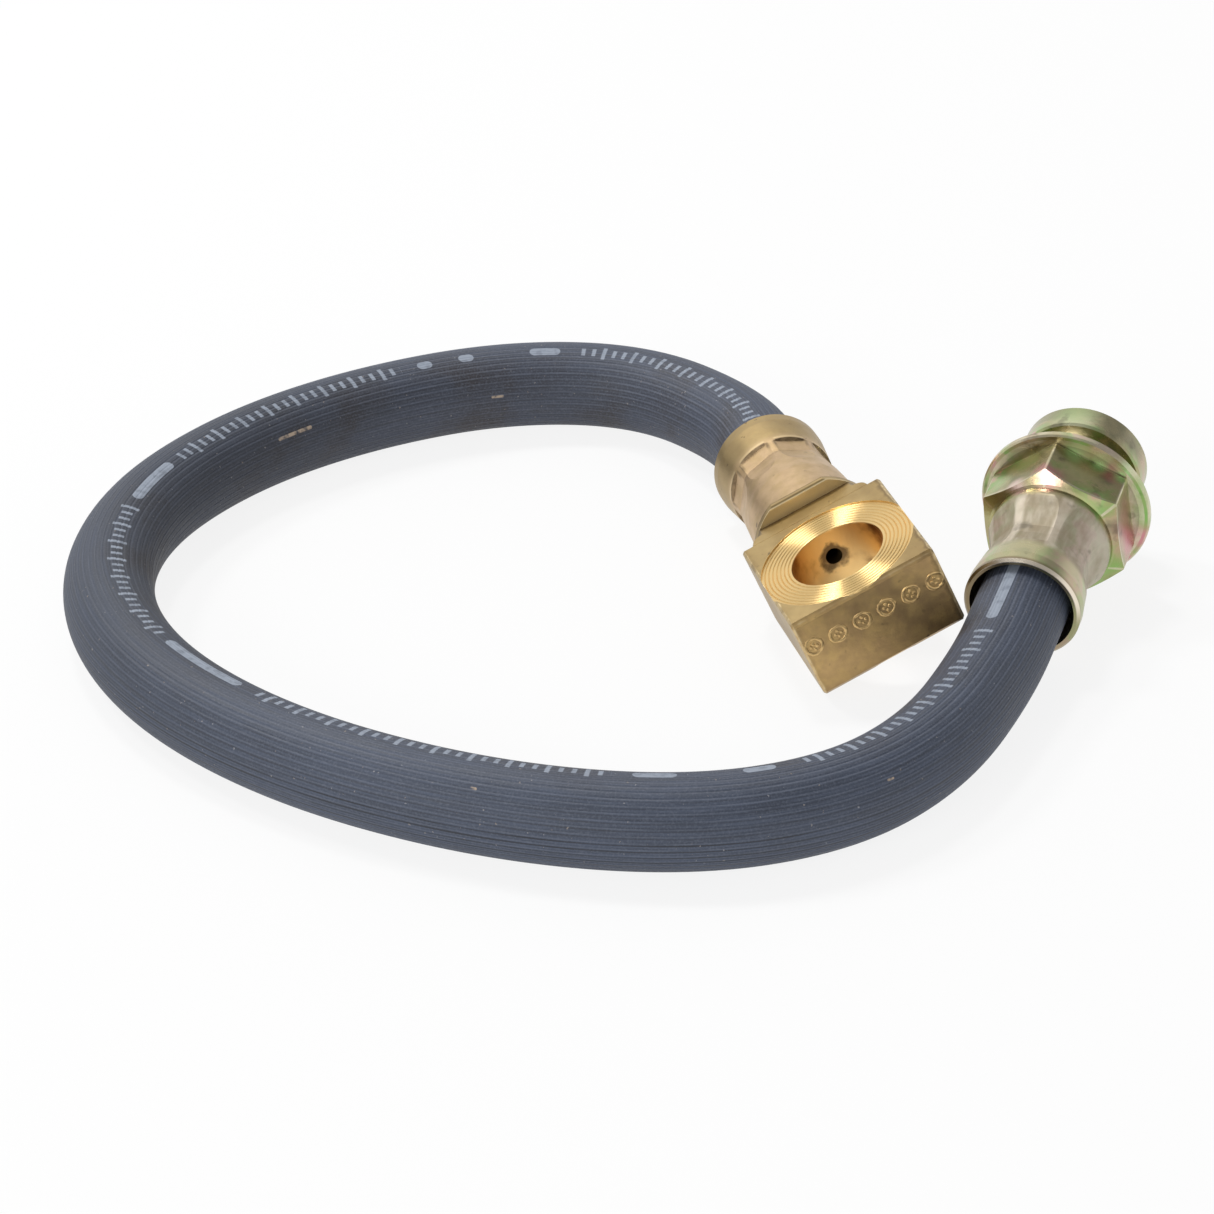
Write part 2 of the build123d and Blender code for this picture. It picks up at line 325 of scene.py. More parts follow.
routeLine = makeRoute(hose)
coverRubber = bpy.data.materials.new("coverRubber")
hosePiece = runTree(
    "ribbedHose",
    routeLine,
    makeHoseTree(),
    {
        "Radius": hose["diameter"] / 2,
        "Grip Radius": hose["gripDiameter"] / 2,
        "Ribs": hose["ribs"],
        "Points per Rib": hose["pointsPerRib"],
        "Rib Height": hose["ribHeight"],
        "Step": hose["step"],
        "Start Depth": hose["banjoDepth"],
        "End Depth": hose["chassisDepth"],
        "Throat": hose["throat"],
        "Material": coverRubber,
    },
)
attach(hosePiece, "root")
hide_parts("hose_cover")
print("hose made,", len(hosePiece.data.polygons), "faces")

# ---- shared shader groups
def makeStainGroup():
    group, given, result = newGroup(
        "stain",
        [
            ("Vector", "NodeSocketVector", None),
            ("Scale", "NodeSocketFloat", 100.0),
            ("Detail", "NodeSocketFloat", 4.0),
            ("Low", "NodeSocketFloat", 0.4),
            ("High", "NodeSocketFloat", 0.6),
        ],
        [("Mask", "NodeSocketFloat")],
    )
    noise = addNode(
        group,
        "ShaderNodeTexNoise",
        {"Vector": given["Vector"], "Scale": given["Scale"], "Detail": given["Detail"]},
    )
    mask = remap(group, noise.outputs[0], given["Low"], given["High"])
    group.links.new(mask, result["Mask"])
    return group


def makeSpeckGroup():
    group, given, result = newGroup(
        "specks",
        [
            ("Vector", "NodeSocketVector", None),
            ("Scale", "NodeSocketFloat", 1000.0),
            ("Size", "NodeSocketFloat", 0.15),
            ("Share", "NodeSocketFloat", 0.1),
        ],
        [("Mask", "NodeSocketFloat"), ("Tint", "NodeSocketFloat")],
    )
    # bent a little, so that no speck is a plain disc
    noise = addNode(
        group,
        "ShaderNodeTexNoise",
        {"Vector": given["Vector"], "Scale": calc(group, "MULTIPLY", given["Scale"], 2.2), "Detail": 2.0},
    ).outputs["Color"]
    bend = addNode(group, "ShaderNodeMath", {0: 0.9, 1: given["Scale"]}, operation="DIVIDE").outputs[0]
    noise = vectorCalc(group, "SUBTRACT", noise, (0.5, 0.5, 0.5))
    bent = vectorCalc(group, "ADD", given["Vector"], vectorCalc(group, "SCALE", noise, scale=bend))
    cells = addNode(group, "ShaderNodeTexVoronoi", {"Vector": bent, "Scale": given["Scale"]})
    tint = addNode(group, "ShaderNodeSeparateColor", {"Color": cells.outputs["Color"]})
    chosen = calc(group, "LESS_THAN", tint.outputs[0], given["Share"])
    size = calc(group, "MULTIPLY", given["Size"], calc(group, "ADD", tint.outputs[1], 0.35))
    near = calc(group, "LESS_THAN", cells.outputs["Distance"], size)
    group.links.new(calc(group, "MULTIPLY", chosen, near), result["Mask"])
    group.links.new(tint.outputs[2], result["Tint"])
    return group


def makeDashGroup():

    group, given, result = newGroup(
        "roundDash",
        [
            ("Along", "NodeSocketFloat", 0.0),
            ("Across", "NodeSocketFloat", 0.0),
            ("Start", "NodeSocketFloat", 0.0),
            ("End", "NodeSocketFloat", 1.0),
            ("Half Width", "NodeSocketFloat", 1.0),
        ],
        [("Mask", "NodeSocketFloat")],
    )
    before = calc(group, "SUBTRACT", calc(group, "ADD", given["Start"], given["Half Width"]), given["Along"])
    after = calc(group, "SUBTRACT", given["Along"], calc(group, "SUBTRACT", given["End"], given["Half Width"]))
    beyond = calc(group, "MAXIMUM", calc(group, "MAXIMUM", before, after), 0.0)
    square = calc(group, "MULTIPLY", beyond, beyond)
    distance = calc(group, "SQRT", calc(group, "MULTIPLY_ADD", given["Across"], given["Across"], square))
    edge = calc(group, "SUBTRACT", distance, given["Half Width"])
    group.links.new(remap(group, edge, 0.05, -0.05), result["Mask"])
    return group


stain = makeStainGroup()
specks = makeSpeckGroup()
roundDash = makeDashGroup()


def startMaterial(material):
    material.use_nodes = True
    tree = material.node_tree
    tree.nodes.clear()
    output = tree.nodes.new("ShaderNodeOutputMaterial")
    shader = tree.nodes.new("ShaderNodeBsdfPrincipled")
    tree.links.new(shader.outputs[0], output.inputs["Surface"])
    place = tree.nodes.new("ShaderNodeTexCoord").outputs["Object"]
    return tree, shader.inputs, place


def finishBump(tree, shader, height, distance, strength=1.0):
    bump = addNode(
        tree, "ShaderNodeBump", {"Height": height, "Distance": distance, "Strength": strength}
    )
    tree.links.new(bump.outputs["Normal"], shader["Normal"])


def mapRange(tree, value, low, high, toLow, toHigh):
    return remap(tree, value, low, high, toLow, toHigh, smooth=False)


# ---- rubber of the hose, places along it in mm from its end in the banjo socket
rubber = {
    "dark": rgb(0.043, 0.054, 0.082),
    "pale": rgb(0.070, 0.088, 0.133),
    # edge is the paler tone of the grain and of the painted rib highlight
    "edge": rgb(0.135, 0.155, 0.205),
    "groove": rgb(0.012, 0.014, 0.020),
    "brown": rgb(0.040, 0.036, 0.040),
    "tan": rgb(0.42, 0.33, 0.25),
    "ink": rgb(0.285, 0.325, 0.395),
    "shadedStretchAt": 128.0,
    "laylineTurn": 13.0,
    "bars": [
        (54.2, 58.2),
        (65.6, 67.6),
        (71.2, 73.2),
        (113.0, 122.6),
        (158.4, 171.6),
        (219.2, 224.0),
        (231.2, 234.9),
        (276.8, 292.0),
    ],
    "barWidth": 1.35,
    "tickRows": [(18.0, 51.5), (75.5, 111.0), (124.5, 156.5), (174.0, 217.0), (238.0, 274.5)],
    "tickPitch": 1.42,
    "tickWidth": 0.52,
    "tickHeight": 1.12,
    "shadedCreases": [(148.0, 262.0, -86.0, 0.13), (150.0, 214.0, -95.0, 0.10), (186.0, 248.0, -103.0, 0.09)],
    "scuffs": [(90.8, 96.4, 59.0, 0.42), (62.4, 64.2, 77.0, 0.3), (203.0, 203.7, -38.0, 0.3), (245.0, 245.8, -52.0, 0.24)],
}


def dressRubber(material, s, h):
    tree, shader, place = startMaterial(material)
    along = addNode(tree, "ShaderNodeAttribute", attribute_name="along").outputs["Fac"]
    around = addNode(tree, "ShaderNodeAttribute", attribute_name="around").outputs["Vector"]
    part = addNode(tree, "ShaderNodeSeparateXYZ", {0: around}).outputs
    # angle from the top, growing towards the inside of the loop
    turn = calc(
        tree, "ARCTAN2", calc(tree, "MULTIPLY", part[0], -1.0), calc(tree, "MULTIPLY", part[1], -1.0)
    )
    alongMm = calc(tree, "MULTIPLY", along, 1000.0)
    radiusMm = h["diameter"] * 500

    def across(degrees):
        return calc(tree, "MULTIPLY", calc(tree, "SUBTRACT", turn, math.radians(degrees)), radiusMm)

    # streaks that follow the ribs
    streakPlace = vectorCalc(tree, "SCALE", around, scale=7.0)
    lengthways = addNode(tree, "ShaderNodeCombineXYZ", {"Z": calc(tree, "MULTIPLY", along, 55.0)})
    streakPlace = vectorCalc(tree, "ADD", streakPlace, lengthways.outputs[0])
    streaks = useGroup(tree, stain, Vector=streakPlace, Scale=2.4, Detail=6.0, Low=0.3, High=0.72)["Mask"]
    patches = useGroup(tree, stain, Vector=place, Scale=110.0, Detail=4.0, Low=0.45, High=0.68)["Mask"]
    grain = useGroup(tree, stain, Vector=place, Scale=4200.0, Detail=2.0, Low=0.42, High=0.72)["Mask"]

    ribShare = calc(
        tree, "FRACT", calc(tree, "MULTIPLY", calc(tree, "ABSOLUTE", turn), h["ribs"] / (2 * math.pi))
    )
    # painted shade in the groove of each rib
    groove = calc(tree, "PINGPONG", ribShare, 0.5)
    groove = remap(tree, groove, 0.21, 0.02)
    # painted highlight along the upper side of each rib, broken up along the hose
    ribHighlight = remap(tree, calc(tree, "ABSOLUTE", calc(tree, "SUBTRACT", ribShare, 0.72)), 0.14, 0.03)
    wearAndSheen = useGroup(tree, stain, Vector=streakPlace, Scale=5.5, Detail=4.0, Low=0.3, High=0.62)["Mask"]
    ribHighlight = calc(tree, "MULTIPLY", ribHighlight, calc(tree, "MULTIPLY_ADD", wearAndSheen, 0.8, 0.1))
    # painted shade in the grooves, stronger in some grooves than others
    ribNumber = calc(tree, "FLOOR", calc(tree, "MULTIPLY_ADD", turn, h["ribs"] / (2 * math.pi), 0.5))
    shadeByRib = addNode(tree, "ShaderNodeTexWhiteNoise", {"W": ribNumber}, noise_dimensions="1D").outputs[0]
    groove = calc(tree, "MULTIPLY", groove, calc(tree, "MULTIPLY_ADD", shadeByRib, 0.7, 0.3))
    # painted groove shade, strongest on the outer side
    groove = calc(tree, "MULTIPLY", groove, remap(tree, turn, -1.1, -1.7, 0.5, 1.0))

    color = mixColor(tree, streaks, s["dark"], s["pale"])
    # browner and darker towards the inside of the loop
    dirtAndShade = calc(tree, "MULTIPLY_ADD", patches, 0.55, 0.25)
    dirtAndShade = calc(tree, "MULTIPLY", dirtAndShade, remap(tree, turn, -0.6, 1.2, 0.15, 1.3))
    color = mixColor(tree, dirtAndShade, color, s["brown"])
    color = mixColor(tree, calc(tree, "MULTIPLY", grain, 0.36), color, s["edge"])
    # painted highlight along the ribs
    color = mixColor(tree, calc(tree, "MULTIPLY", ribHighlight, 0.46), color, s["edge"])
    # painted shade laid into the grooves
    color = mixColor(tree, calc(tree, "MULTIPLY", groove, 0.95), color, s["groove"])
    # painted shade: a darker stretch at the loop's far bend
    fromBend = calc(tree, "ABSOLUTE", calc(tree, "SUBTRACT", alongMm, s["shadedStretchAt"]))
    color = mixColor(tree, remap(tree, fromBend, 62.0, 22.0, 0.0, 0.36), color, s["groove"])
    uneven = mapRange(tree, streaks, 0.2, 0.8, 0.9, 0.35)
    # painted shade along creases in the cover
    for start, end, degrees, width in s["shadedCreases"]:
        given = {"Start": start, "End": end, "Half Width": width / 2}
        creaseShade = useGroup(tree, roundDash, Along=alongMm, Across=across(degrees), **given)["Mask"]
        color = mixColor(tree, calc(tree, "MULTIPLY", creaseShade, uneven), color, s["groove"])

    dust = useGroup(tree, specks, Vector=place, Scale=2400.0, Size=0.2, Share=0.07)
    dustColor = mixColor(tree, dust["Tint"], s["tan"], rgb(0.5, 0.5, 0.52))
    color = mixColor(tree, calc(tree, "MULTIPLY", dust["Mask"], 0.4), color, dustColor)

    scuffed = None
    for start, end, degrees, width in s["scuffs"]:
        mark = useGroup(
            tree, roundDash, Along=alongMm, Across=across(degrees), **{"Start": start, "End": end, "Half Width": width / 2}
        )["Mask"]
        scuffed = mark if scuffed is None else calc(tree, "MAXIMUM", scuffed, mark)
    broken = useGroup(tree, stain, Vector=place, Scale=1500.0, Detail=3.0, Low=0.3, High=0.6)["Mask"]
    color = mixColor(tree, calc(tree, "MULTIPLY", scuffed, broken), color, s["tan"])

    onLine = across(s["laylineTurn"])
    ink = None
    for start, end in s["bars"]:
        bar = useGroup(
            tree, roundDash, Along=alongMm, Across=onLine, **{"Start": start, "End": end, "Half Width": s["barWidth"] / 2}
        )["Mask"]
        ink = bar if ink is None else calc(tree, "MAXIMUM", ink, bar)
    # rows of plain long and short ticks
    row = calc(tree, "PINGPONG", alongMm, s["tickPitch"] / 2)
    tick = remap(tree, row, s["tickWidth"] / 2 + 0.07, s["tickWidth"] / 2 - 0.07)
    short = calc(tree, "PINGPONG", calc(tree, "ADD", alongMm, s["tickPitch"] / 2), s["tickPitch"] * 1.5)
    short = calc(tree, "LESS_THAN", short, s["tickPitch"])
    tall = calc(tree, "MULTIPLY_ADD", short, -0.45, s["tickHeight"])
    height = calc(tree, "SUBTRACT", calc(tree, "ABSOLUTE", onLine), tall)
    tick = calc(tree, "MULTIPLY", tick, remap(tree, height, 0.07, -0.07))
    inRow = None
    for start, end in s["tickRows"]:
        inside = calc(tree, "COMPARE", alongMm, (start + end) / 2, (end - start) / 2)
        inRow = inside if inRow is None else calc(tree, "MAXIMUM", inRow, inside)
    ink = calc(tree, "MAXIMUM", ink, calc(tree, "MULTIPLY", tick, inRow))
    thin = useGroup(tree, stain, Vector=place, Scale=1100.0, Detail=3.0, Low=0.30, High=0.55)["Mask"]
    ink = calc(tree, "MULTIPLY", ink, calc(tree, "MULTIPLY_ADD", thin, 0.35, 0.65))
    ink = calc(tree, "MULTIPLY", ink, calc(tree, "MULTIPLY_ADD", groove, -0.5, 1.0))
    color = mixColor(tree, ink, color, s["ink"])

    tree.links.new(color, shader["Base Color"])
    rough = mapRange(tree, streaks, 0.0, 1.0, 0.52, 0.66)
    tree.links.new(rough, shader["Roughness"])
    fine = addNode(tree, "ShaderNodeTexNoise", {"Vector": place, "Scale": 5200.0, "Detail": 3.0})
    finishBump(tree, shader, fine.outputs[0], 0.00003, 0.8)


dressRubber(coverRubber, rubber, hose)
print("rubber dressed")


# ---- local places on the fittings
def localPlace(tree, place, matrix):
    mapping = addNode(
        tree,
        "ShaderNodeMapping",
        {"Vector": place, "Location": matrix.translation, "Rotation": matrix.to_euler("XYZ")},
        vector_type="TEXTURE",
    )
    inMm = vectorCalc(tree, "SCALE", mapping.outputs[0], scale=1000.0)
    return inMm, addNode(tree, "ShaderNodeSeparateXYZ", {0: inMm}).outputs


def radius(tree, a, b):
    square = calc(tree, "MULTIPLY", a, a)
    return calc(tree, "SQRT", calc(tree, "MULTIPLY_ADD", b, b, square))


# ---- brass of the banjo block, all places in mm from the socket's mouth
brass = {
    "patina": rgb(0.315, 0.222, 0.098),
    "brown": rgb(0.27, 0.175, 0.082),
    "dark": rgb(0.085, 0.058, 0.036),
    "endBrown": rgb(0.52, 0.34, 0.165),
    "endDark": rgb(0.24, 0.155, 0.075),
    "stamped": rgb(0.80, 0.56, 0.25),
    "endGold": rgb(0.70, 0.48, 0.20),
    "gold": rgb(0.44, 0.32, 0.145),
    "bell": rgb(0.375, 0.275, 0.135),
    "waist": rgb(0.58, 0.415, 0.245),
    "bright": rgb(0.96, 0.70, 0.33),
    "turned": rgb(0.78, 0.53, 0.21),
    "wearAndSheen": rgb(0.70, 0.55, 0.31),
    "stepFace": rgb(0.92, 0.76, 0.46),
    "bore": rgb(0.97, 0.66, 0.28),
    "boreStain": rgb(0.26, 0.12, 0.04),
    "crimpTurn": 14.0,
    "boreAt": 34.1,
    "boreRadius": 5.6,
    "spotRadius": 9.3,
    "halfWidth": 9.0,
    "halfThickness": 5.15,
    "blockEnd": 43.6,
    "feedRise": 1.5,
    "feedRadius": 1.0,
}


def dressBrass(material, s, matrix):
    tree, shader, place = startMaterial(material)
    local, (x, y, z) = localPlace(tree, place, matrix)
    boreZ = calc(tree, "SUBTRACT", z, s["boreAt"])
    boreR = radius(tree, x, boreZ)
    height = calc(tree, "ABSOLUTE", y)
    inBore = calc(tree, "LESS_THAN", boreR, s["boreRadius"] + 0.04)
    onRing = calc(tree, "LESS_THAN", boreR, s["spotRadius"] + 0.02)
    onRing = calc(tree, "MULTIPLY", onRing, calc(tree, "GREATER_THAN", height, s["halfThickness"] - 0.35))
    onRing = calc(tree, "MULTIPLY", onRing, calc(tree, "GREATER_THAN", boreR, s["boreRadius"] - 0.02))

    broad = useGroup(tree, stain, Vector=place, Scale=150.0, Detail=5.0, Low=0.34, High=0.68)["Mask"]
    mottled = useGroup(tree, stain, Vector=place, Scale=520.0, Detail=5.0, Low=0.34, High=0.7)["Mask"]
    cloudy = useGroup(tree, stain, Vector=place, Scale=900.0, Detail=5.0, Low=0.3, High=0.75)["Mask"]
    spots = useGroup(tree, stain, Vector=place, Scale=520.0, Detail=2.0, Low=0.70, High=0.76)["Mask"]

    # gold on the flats, duller on the bell
    color = mixColor(tree, broad, s["patina"], s["gold"])
    color = mixColor(tree, remap(tree, z, 24.0, 20.0), color, mixColor(tree, broad, s["bell"], s["gold"]))
    # browner on the far end, most of all at one side
    toEnd = remap(tree, z, 42.9, 43.3)
    endColor = mixColor(tree, calc(tree, "MULTIPLY_ADD", mottled, 0.75, 0.25), s["endBrown"], s["endGold"])
    endColor = mixColor(tree, remap(tree, y, -1.5, -5.5, 0.0, 0.5), endColor, s["endDark"])
    endColor = mixColor(tree, remap(tree, z, 43.61, 43.66, 0.0, 0.8), endColor, s["stamped"])
    color = mixColor(tree, toEnd, color, endColor)
    onWaist = calc(tree, "MULTIPLY", remap(tree, z, 4.5, 6.5), remap(tree, z, 20.8, 19.8))
    waistColor = mixColor(tree, calc(tree, "MULTIPLY", mottled, 0.5), s["waist"], s["gold"])
    color = mixColor(tree, onWaist, color, waistColor)
    color = mixColor(tree, calc(tree, "MULTIPLY", cloudy, 0.22), color, s["brown"])
    color = mixColor(tree, calc(tree, "MULTIPLY", spots, 0.75), color, s["dark"])

    peppered = useGroup(tree, specks, Vector=place, Scale=1700.0, Size=0.24, Share=0.12)["Mask"]
    pepper = remap(tree, z, 7.0, 4.0, 0.2, 0.6)
    color = mixColor(tree, calc(tree, "MULTIPLY", peppered, pepper), color, s["dark"])
    # the crimp's ledges: a painted highlight on the lip towards the bell, and painted shade in a line below it
    # and beside the flats
    fromFlat = calc(tree, "SUBTRACT", calc(tree, "ARCTAN2", y, x), math.radians(s["crimpTurn"]))
    fromFlat = calc(tree, "PINGPONG", fromFlat, math.radians(22.5))
    onFlat = remap(tree, fromFlat, math.radians(18.5), math.radians(15.5))
    lipHighlight = calc(tree, "MULTIPLY", remap(tree, z, 5.45, 5.8), remap(tree, z, 6.05, 5.95))
    color = mixColor(tree, calc(tree, "MULTIPLY", calc(tree, "MULTIPLY", lipHighlight, onFlat), 0.6), color, s["wearAndSheen"])
    ledgeShade = calc(tree, "MULTIPLY", remap(tree, z, 5.97, 6.1), remap(tree, z, 6.75, 6.2))
    ledgeShade = calc(tree, "MULTIPLY", ledgeShade, onFlat)
    between = calc(tree, "MULTIPLY", remap(tree, z, 6.0, 6.4), remap(tree, z, 8.2, 6.8))
    between = calc(tree, "MULTIPLY", between, remap(tree, calc(tree, "ABSOLUTE", calc(tree, "SUBTRACT", fromFlat, math.radians(18.5))), 0.05, 0.015))
    shaded = calc(tree, "MAXIMUM", ledgeShade, calc(tree, "MULTIPLY", between, 0.7))
    color = mixColor(tree, calc(tree, "MULTIPLY", shaded, mapRange(tree, cloudy, 0.0, 1.0, 0.45, 0.85)), color, s["dark"])
    # darker below the step and behind its lip
    inCorner = calc(tree, "MULTIPLY", remap(tree, z, 21.48, 21.56), remap(tree, z, 22.3, 21.6))
    behindLip = calc(tree, "MULTIPLY", remap(tree, z, 20.2, 20.6), remap(tree, z, 20.95, 20.72))
    inCorner = calc(tree, "MULTIPLY", calc(tree, "MAXIMUM", inCorner, behindLip), mapRange(tree, cloudy, 0.0, 1.0, 0.35, 0.8))
    color = mixColor(tree, inCorner, color, s["dark"])
    # brighter on the step that faces the block
    onStep = calc(tree, "MULTIPLY", remap(tree, z, 21.35, 21.45), remap(tree, z, 21.75, 21.6))
    onStep = calc(tree, "MULTIPLY", onStep, calc(tree, "GREATER_THAN", height, s["halfThickness"] + 0.02))
    color = mixColor(tree, onStep, color, s["stepFace"])

    # worn bright along the block's edges, partly a painted highlight, and darker just inside them, most on one
    # side
    side = calc(tree, "SUBTRACT", s["halfWidth"], calc(tree, "ABSOLUTE", x))
    face = calc(tree, "SUBTRACT", s["halfThickness"], height)
    end = calc(tree, "SUBTRACT", s["blockEnd"], z)
    low = calc(tree, "MINIMUM", side, calc(tree, "MINIMUM", face, end))
    high = calc(tree, "MAXIMUM", side, calc(tree, "MAXIMUM", face, end))
    total = calc(tree, "ADD", side, calc(tree, "ADD", face, end))
    second = calc(tree, "SUBTRACT", calc(tree, "SUBTRACT", total, low), high)
    wobble = addNode(tree, "ShaderNodeTexNoise", {"Vector": place, "Scale": 700.0, "Detail": 4.0}).outputs[0]
    ragged = calc(tree, "MULTIPLY_ADD", wobble, 1.3, second)
    darkInsideEdges = calc(tree, "MULTIPLY", remap(tree, ragged, 1.5, 1.0), remap(tree, x, 6.0, 9.0, 0.15, 0.65))
    color = mixColor(tree, calc(tree, "MULTIPLY", darkInsideEdges, 0.8), color, s["dark"])
    edge = remap(tree, calc(tree, "MULTIPLY_ADD", wobble, 0.5, second), 0.66, 0.42)
    edge = calc(tree, "MULTIPLY", edge, remap(tree, cloudy, 0.9, 0.2, 0.35, 0.85))
    color = mixColor(tree, edge, color, s["wearAndSheen"])

    # stained bore, darkest round the feed hole
    feedY = calc(tree, "SUBTRACT", y, s["feedRise"])
    feedR = calc(tree, "MULTIPLY_ADD", wobble, -2.6, radius(tree, x, feedY))
    boreColor = mixColor(
        tree,
        useGroup(tree, stain, Vector=place, Scale=230.0, Detail=5.0, Low=0.45, High=0.72)["Mask"],
        s["bore"],
        s["boreStain"],
    )
    boreColor = mixColor(tree, remap(tree, x, -2.0, -5.6, 0.0, 0.45), boreColor, s["boreStain"])
    boreColor = mixColor(tree, calc(tree, "MULTIPLY", remap(tree, feedR, 0.7, -0.1), 0.85), boreColor, s["dark"])
    color = mixColor(tree, inBore, color, boreColor)
    # turned face: rings that differ a little
    ringShade = addNode(
        tree,
        "ShaderNodeTexNoise",
        {"Vector": addNode(tree, "ShaderNodeCombineXYZ", {"X": boreR}).outputs[0], "Scale": 3.1, "Detail": 5.0},
    ).outputs[0]
    turned = mixColor(tree, ringShade, s["bright"], s["turned"])
    color = mixColor(tree, onRing, color, turned)
    tree.links.new(color, shader["Base Color"])
    shader["Metallic"].default_value = 1.0
    rough = calc(tree, "MULTIPLY_ADD", mottled, 0.04, 0.40)
    rough = addNode(tree, "ShaderNodeMix", {0: inBore, 2: rough, 3: 0.36}).outputs[0]
    rough = addNode(tree, "ShaderNodeMix", {0: onRing, 2: rough, 3: 0.31}).outputs[0]
    tree.links.new(rough, shader["Roughness"])
    fine = addNode(tree, "ShaderNodeTexNoise", {"Vector": place, "Scale": 1600.0, "Detail": 5.0}).outputs[0]
    rest = calc(tree, "MULTIPLY", fine, calc(tree, "SUBTRACT", 1.0, onRing))
    finishBump(tree, shader, rest, 0.00004, 0.5)
    # turned lines run round the bore, so the sheen spreads across them
    centre = matrix @ Vector((0, 0, s["boreAt"] * mm))
    outward = vectorCalc(tree, "NORMALIZE", vectorCalc(tree, "SUBTRACT", place, tuple(centre)))
    tree.links.new(outward, shader["Tangent"])
    tree.links.new(onRing, shader["Anisotropic"])


brassMaterial = bpy.data.materials.new("brass")
dressBrass(brassMaterial, brass, banjoFrame)


# ---- row of plain round stamps across the block's end
stamps = {
    "count": 6,
    "pitch": 3.08,
    "radius": 0.98,
    "dots": 4,
    "dotsRadius": 0.38,
    "wire": 0.22,
    "wear": 0.28,
    "across": 1.45,  # from the block's middle plane
    "at": 43.57,
}


def makeStampTree():
    tree = bpy.data.node_groups.new("stampRow", "GeometryNodeTree")
    tree.is_modifier = True
    face = tree.interface
    face.new_socket("Geometry", in_out="INPUT", socket_type="NodeSocketGeometry")
    for label, kind in (
        ("Count", "NodeSocketInt"),
        ("Pitch", "NodeSocketFloat"),
        ("Radius", "NodeSocketFloat"),
        ("Dots", "NodeSocketInt"),
        ("Dots Radius", "NodeSocketFloat"),
        ("Wire", "NodeSocketFloat"),
        ("Wear", "NodeSocketFloat"),
        ("Material", "NodeSocketMaterial"),
    ):
        face.new_socket(label, in_out="INPUT", socket_type=kind)
    face.new_socket("Geometry", in_out="OUTPUT", socket_type="NodeSocketGeometry")
    given = tree.nodes.new("NodeGroupInput").outputs
    result = tree.nodes.new("NodeGroupOutput").inputs

    # raised ring with a rosette of dots inside it
    circle = addNode(tree, "GeometryNodeCurvePrimitiveCircle", {"Resolution": 36, "Radius": given["Radius"]})
    section = addNode(tree, "GeometryNodeCurvePrimitiveCircle", {"Resolution": 10, "Radius": given["Wire"]})
    ring = addNode(
        tree,
        "GeometryNodeCurveToMesh",
        {"Curve": circle.outputs[0], "Profile Curve": section.outputs[0]},
    )
    places = addNode(tree, "GeometryNodeMeshCircle", {"Vertices": given["Dots"], "Radius": given["Dots Radius"]})
    dot = addNode(tree, "GeometryNodeMeshIcoSphere", {"Radius": given["Wire"], "Subdivisions": 3})
    dots = addNode(
        tree, "GeometryNodeInstanceOnPoints", {"Points": places.outputs[0], "Instance": dot.outputs[0]}
    )
    both = addNode(tree, "GeometryNodeJoinGeometry")
    tree.links.new(ring.outputs[0], both.inputs[0])
    tree.links.new(dots.outputs[0], both.inputs[0])
    low = addNode(tree, "GeometryNodeTransform", {"Geometry": both.outputs[0], "Scale": (1.0, 1.0, 0.5)})
    span = calc(tree, "MULTIPLY", calc(tree, "SUBTRACT", given["Count"], 1.0), given["Pitch"])
    start = addNode(tree, "ShaderNodeCombineXYZ", {"X": calc(tree, "MULTIPLY", span, -0.5)})
    offset = addNode(tree, "ShaderNodeCombineXYZ", {"X": given["Pitch"]})
    row = addNode(
        tree,
        "GeometryNodeMeshLine",
        {"Count": given["Count"], "Start Location": start.outputs[0], "Offset": offset.outputs[0]},
    )
    placed = addNode(
        tree, "GeometryNodeInstanceOnPoints", {"Points": row.outputs[0], "Instance": low.outputs[0]}
    )
    real = addNode(tree, "GeometryNodeRealizeInstances", {"Geometry": placed.outputs[0]})
    # each one worn a little differently
    noise = addNode(tree, "ShaderNodeTexNoise", {"Scale": 1400.0, "Detail": 2.0}).outputs["Color"]
    shift = vectorCalc(tree, "SCALE", vectorCalc(tree, "SUBTRACT", noise, (0.5, 0.5, 0.5)), scale=given["Wear"])
    wearAndSheen = addNode(tree, "GeometryNodeSetPosition", {"Geometry": real.outputs[0], "Offset": shift})
    dressed = addNode(
        tree,
        "GeometryNodeSetMaterial",
        {"Geometry": wearAndSheen.outputs[0], "Material": given["Material"]},
    )
    tree.links.new(dressed.outputs[0], result[0])
    return tree


endStamps = runTree(
    "endStamps",
    bpy.data.meshes.new("stampStart"),
    makeStampTree(),
    {
        "Count": stamps["count"],
        "Pitch": stamps["pitch"] * mm,
        "Radius": stamps["radius"] * mm,
        "Dots": stamps["dots"],
        "Dots Radius": stamps["dotsRadius"] * mm,
        "Wire": stamps["wire"] * mm,
        "Wear": stamps["wear"] * mm,
        "Material": brassMaterial,
    },
)
endStamps.data.transform(banjoFrame @ Matrix.Translation(Vector((0, stamps["across"], stamps["at"])) * mm))
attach(endStamps, "root")
print("stamps made,", len(endStamps.data.polygons), "faces")


